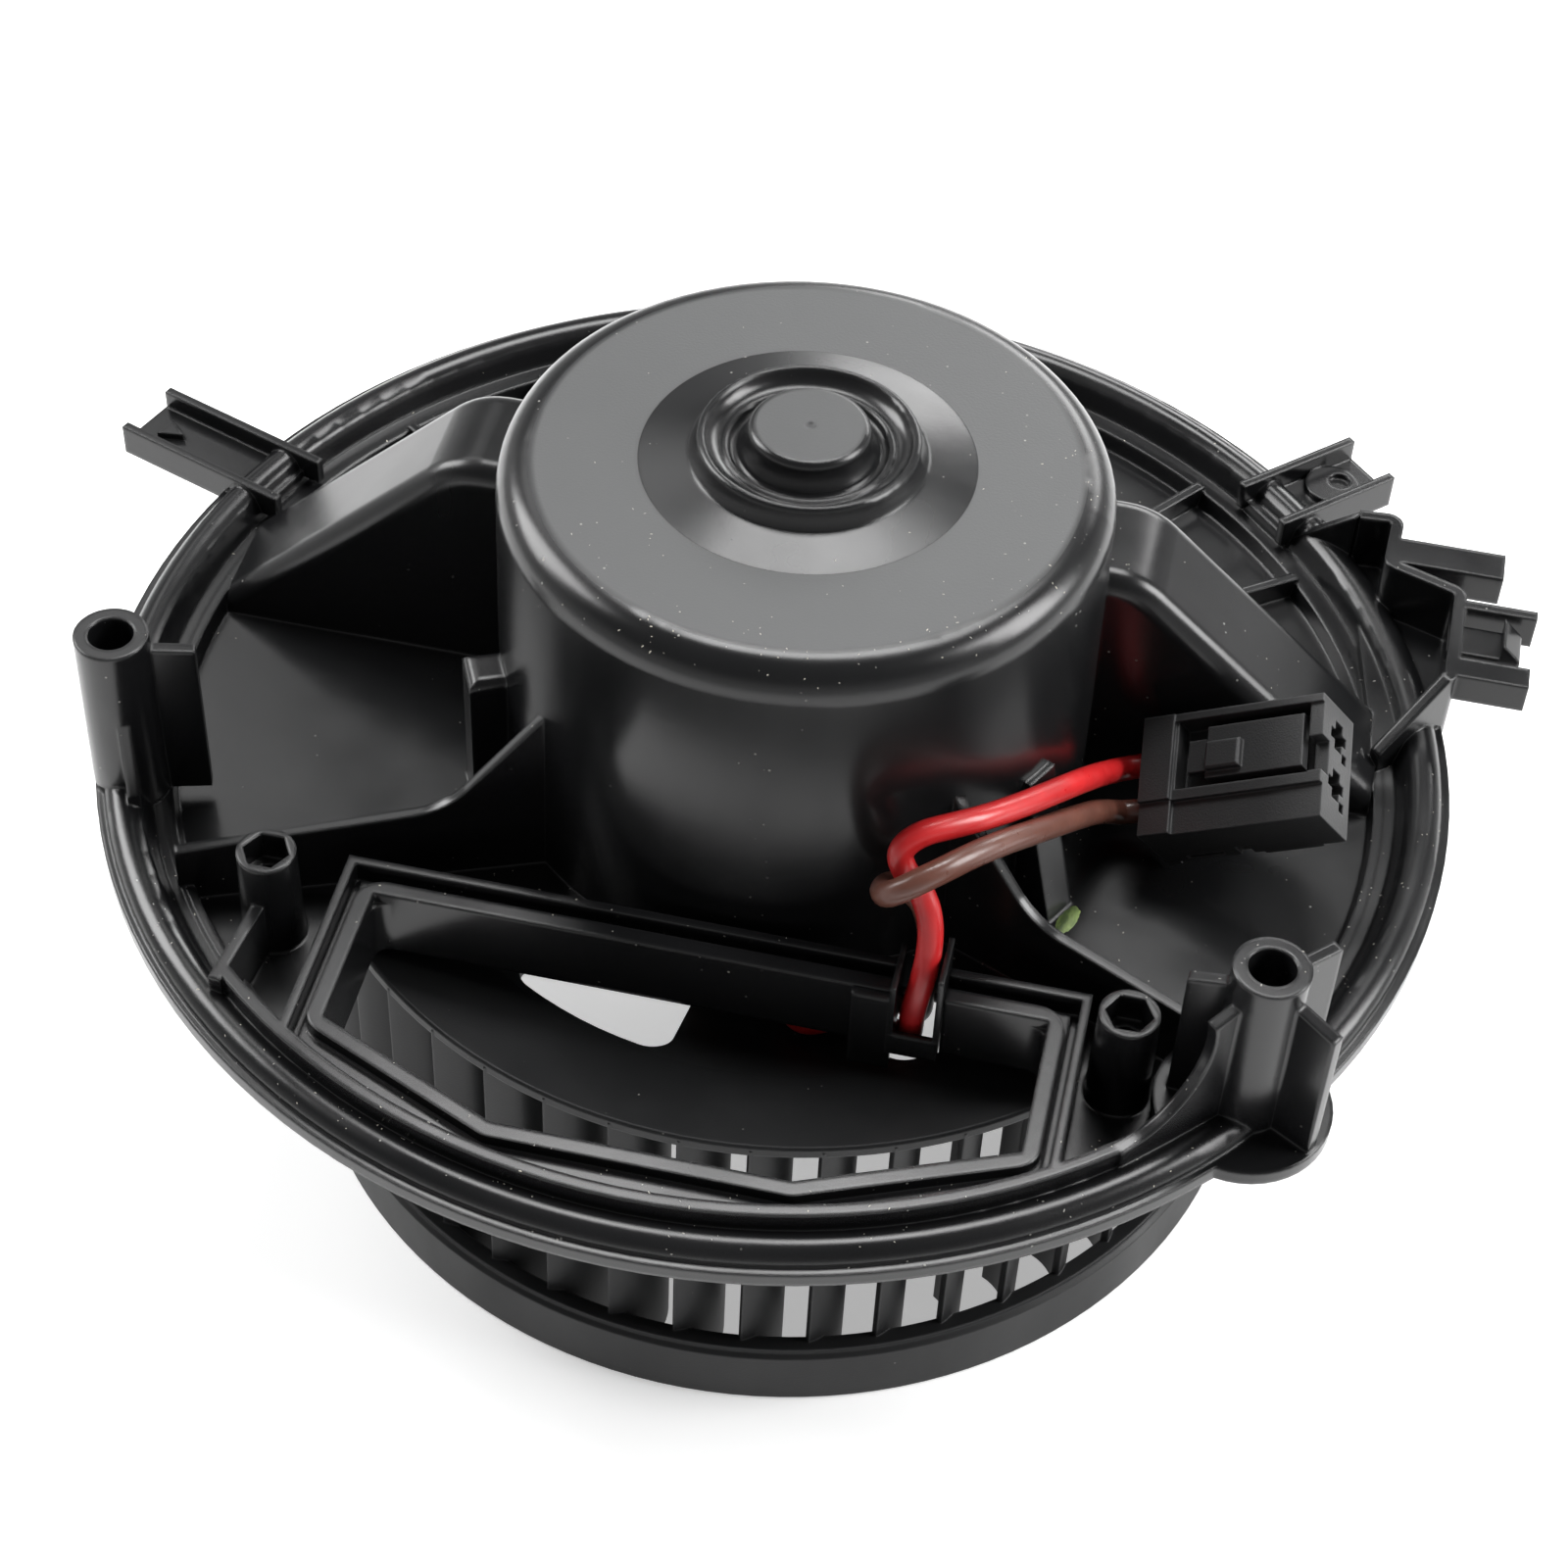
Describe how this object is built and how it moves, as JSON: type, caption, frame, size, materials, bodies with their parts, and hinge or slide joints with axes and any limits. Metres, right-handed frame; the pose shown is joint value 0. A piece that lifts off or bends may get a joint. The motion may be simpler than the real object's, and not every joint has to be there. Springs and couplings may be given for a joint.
{
  "type": "blower_motor_wheel",
  "caption": "Car heater blower: black flange with domed motor carrier, squirrel-cage wheel, red and brown leads and plug",
  "frame": {"origin": "centre of the flange's round register, in the plane of the lip's underside", "axes": "+Z along the motor axis towards the closed dome, -Y towards the regulator window"},
  "size_m": [0.2242, 0.2, 0.124],
  "materials": {
    "housing_black": "satin black glass-filled nylon moulding, polished on the dome",
    "wheel_black": "matt black moulded wheel",
    "connector_black": "matt black connector body",
    "lead_red": "red lead insulation, satin",
    "lead_brown": "brown lead insulation, satin",
    "zinc_steel": "zinc-plated pressed steel",
    "bright_steel": "ground steel",
    "spring_steel": "blued spring steel",
    "lamination": "laminated iron",
    "ferrite": "ferrite magnet",
    "copper": "enamelled copper",
    "bronze": "oil-filled sintered bronze",
    "tin_bronze": "tin-plated contact",
    "carbon": "carbon brush",
    "rubber_black": "soft moulded rubber",
    "brush_plastic": "brush gear moulding"
  },
  "bodies": {
    "housing": {"flange_housing": "housing_black", "lead_clip": "housing_black", "connector_housing": "connector_black", "connector_lock": "connector_black", "lead_red": "lead_red", "lead_brown": "lead_brown", "motor_can": "zinc_steel", "motor_end_plate": "zinc_steel", "retainer_ring": "zinc_steel", "retainer_screws": "zinc_steel", "bearing_cap_upper": "spring_steel", "bearing_cap_lower": "spring_steel", "magnet_springs": "spring_steel", "brush_springs": "spring_steel", "magnets": "ferrite", "chokes": "copper", "bearing_upper": "bronze", "bearing_lower": "bronze", "terminal_red": "tin_bronze", "terminal_brown": "tin_bronze", "brush_red": "carbon", "brush_brown": "carbon", "isolator_upper": "rubber_black", "isolator_lower": "rubber_black", "brush_holders": "brush_plastic"},
    "rotor": {"shaft": "bright_steel", "armature_stack": "lamination", "armature_winding": "copper", "commutator": "copper", "fan_wheel": "wheel_black", "hub_clip": "spring_steel", "balance_clips": "spring_steel", "thrust_washers": "bright_steel"},
    "latch": {"connector_latch": "connector_black"}
  },
  "joints": [
    {"name": "wheel_spin", "type": "hinge", "parent": "housing", "child": "rotor", "pos_m": [0.0026, 0, 0], "axis": [0, 0, 1], "continuous": true},
    {"name": "latch_press", "type": "hinge", "parent": "housing", "child": "latch", "pos_m": [0.07559, -0.00491, 0.02124], "axis": [0.0876, -0.9398, -0.3302], "range_deg": [0, 4], "stiffness_Nm_per_rad": 0.5}
  ]
}
